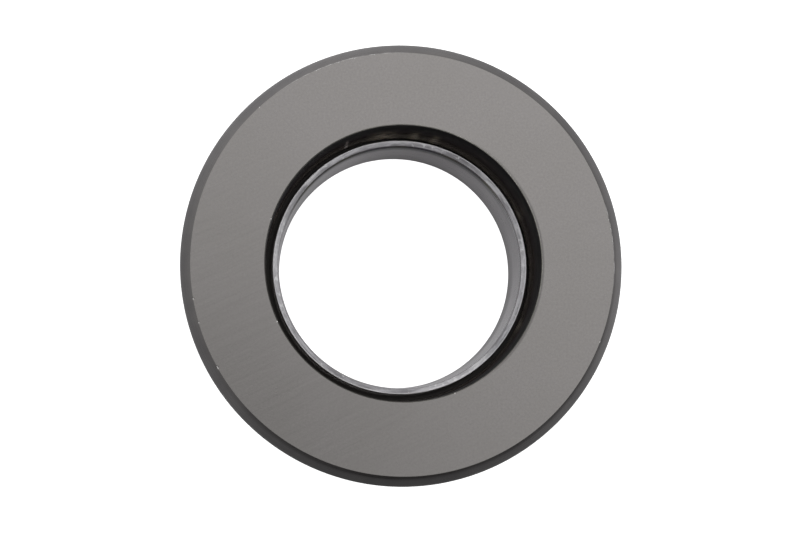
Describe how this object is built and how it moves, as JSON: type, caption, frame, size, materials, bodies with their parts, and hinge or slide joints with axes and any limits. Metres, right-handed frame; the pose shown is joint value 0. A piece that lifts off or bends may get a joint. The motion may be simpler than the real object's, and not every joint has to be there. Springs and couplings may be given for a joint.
{
  "type": "thrust ball bearing",
  "caption": "Single-direction thrust ball bearing: grooved steel washers, the wider-bored one on top, with a ring of balls rolling in a riveted brass cage between them.",
  "frame": {"origin": "centre of the shaft washer's seat face, on the bearing's axis", "axes": "+Z along the bearing's axis, from the shaft washer's seat face to the housing washer's seat face; +Y through the centre of ball_01"},
  "size_m": [0.125, 0.125, 0.04],
  "materials": {
    "washer_steel": "fine ground seat faces, darker heat-treated rims and bores",
    "ball_steel": "mirror polished and oiled",
    "cage_brass": "machined, lightly oiled",
    "rivet_brass": "headed, satin"
  },
  "bodies": {
    "housing_side": {"housing_washer": "washer_steel"},
    "shaft_side": {"shaft_washer": "washer_steel"},
    "cage": {"cage_upper_half": "cage_brass", "cage_lower_half": "cage_brass", "cage_rivets": "rivet_brass"},
    "ball_01": {"ball_01": "ball_steel"},
    "ball_02": {"ball_02": "ball_steel"},
    "ball_03": {"ball_03": "ball_steel"},
    "ball_04": {"ball_04": "ball_steel"},
    "ball_05": {"ball_05": "ball_steel"},
    "ball_06": {"ball_06": "ball_steel"},
    "ball_07": {"ball_07": "ball_steel"},
    "ball_08": {"ball_08": "ball_steel"},
    "ball_09": {"ball_09": "ball_steel"},
    "ball_10": {"ball_10": "ball_steel"},
    "ball_11": {"ball_11": "ball_steel"},
    "ball_12": {"ball_12": "ball_steel"},
    "ball_13": {"ball_13": "ball_steel"},
    "ball_14": {"ball_14": "ball_steel"},
    "ball_15": {"ball_15": "ball_steel"}
  },
  "joints": [
    {"name": "spin", "type": "hinge", "parent": "housing_side", "child": "shaft_side", "pos_m": [0, 0, 0], "axis": [0, 0, 1], "continuous": true},
    {"name": "cage_orbit", "type": "hinge", "parent": "housing_side", "child": "cage", "pos_m": [0, 0, 0.02], "axis": [0, 0, 1], "continuous": true},
    {"name": "ball_01_roll", "type": "hinge", "parent": "cage", "child": "ball_01", "pos_m": [0, 0.04925, 0.02], "axis": [0, 1, 0], "continuous": true},
    {"name": "ball_02_roll", "type": "hinge", "parent": "cage", "child": "ball_02", "pos_m": [-0.02003, 0.04499, 0.02], "axis": [-0.4067, 0.9135, 0], "continuous": true},
    {"name": "ball_03_roll", "type": "hinge", "parent": "cage", "child": "ball_03", "pos_m": [-0.0366, 0.03295, 0.02], "axis": [-0.7431, 0.6691, 0], "continuous": true},
    {"name": "ball_04_roll", "type": "hinge", "parent": "cage", "child": "ball_04", "pos_m": [-0.04684, 0.01522, 0.02], "axis": [-0.9511, 0.309, 0], "continuous": true},
    {"name": "ball_05_roll", "type": "hinge", "parent": "cage", "child": "ball_05", "pos_m": [-0.04898, -0.00515, 0.02], "axis": [-0.9945, -0.1045, 0], "continuous": true},
    {"name": "ball_06_roll", "type": "hinge", "parent": "cage", "child": "ball_06", "pos_m": [-0.04265, -0.02463, 0.02], "axis": [-0.866, -0.5, 0], "continuous": true},
    {"name": "ball_07_roll", "type": "hinge", "parent": "cage", "child": "ball_07", "pos_m": [-0.02895, -0.03984, 0.02], "axis": [-0.5878, -0.809, 0], "continuous": true},
    {"name": "ball_08_roll", "type": "hinge", "parent": "cage", "child": "ball_08", "pos_m": [-0.01024, -0.04817, 0.02], "axis": [-0.2079, -0.9781, 0], "continuous": true},
    {"name": "ball_09_roll", "type": "hinge", "parent": "cage", "child": "ball_09", "pos_m": [0.01024, -0.04817, 0.02], "axis": [0.2079, -0.9781, 0], "continuous": true},
    {"name": "ball_10_roll", "type": "hinge", "parent": "cage", "child": "ball_10", "pos_m": [0.02895, -0.03984, 0.02], "axis": [0.5878, -0.809, 0], "continuous": true},
    {"name": "ball_11_roll", "type": "hinge", "parent": "cage", "child": "ball_11", "pos_m": [0.04265, -0.02463, 0.02], "axis": [0.866, -0.5, 0], "continuous": true},
    {"name": "ball_12_roll", "type": "hinge", "parent": "cage", "child": "ball_12", "pos_m": [0.04898, -0.00515, 0.02], "axis": [0.9945, -0.1045, 0], "continuous": true},
    {"name": "ball_13_roll", "type": "hinge", "parent": "cage", "child": "ball_13", "pos_m": [0.04684, 0.01522, 0.02], "axis": [0.9511, 0.309, 0], "continuous": true},
    {"name": "ball_14_roll", "type": "hinge", "parent": "cage", "child": "ball_14", "pos_m": [0.0366, 0.03295, 0.02], "axis": [0.7431, 0.6691, 0], "continuous": true},
    {"name": "ball_15_roll", "type": "hinge", "parent": "cage", "child": "ball_15", "pos_m": [0.02003, 0.04499, 0.02], "axis": [0.4067, 0.9135, 0], "continuous": true}
  ],
  "couplings": [
    {"joint": "cage_orbit", "follows": "spin", "ratio": 0.5},
    {"joint": "ball_01_roll", "follows": "spin", "ratio": 2.8203},
    {"joint": "ball_02_roll", "follows": "spin", "ratio": 2.8203},
    {"joint": "ball_03_roll", "follows": "spin", "ratio": 2.8203},
    {"joint": "ball_04_roll", "follows": "spin", "ratio": 2.8203},
    {"joint": "ball_05_roll", "follows": "spin", "ratio": 2.8203},
    {"joint": "ball_06_roll", "follows": "spin", "ratio": 2.8203},
    {"joint": "ball_07_roll", "follows": "spin", "ratio": 2.8203},
    {"joint": "ball_08_roll", "follows": "spin", "ratio": 2.8203},
    {"joint": "ball_09_roll", "follows": "spin", "ratio": 2.8203},
    {"joint": "ball_10_roll", "follows": "spin", "ratio": 2.8203},
    {"joint": "ball_11_roll", "follows": "spin", "ratio": 2.8203},
    {"joint": "ball_12_roll", "follows": "spin", "ratio": 2.8203},
    {"joint": "ball_13_roll", "follows": "spin", "ratio": 2.8203},
    {"joint": "ball_14_roll", "follows": "spin", "ratio": 2.8203},
    {"joint": "ball_15_roll", "follows": "spin", "ratio": 2.8203}
  ]
}
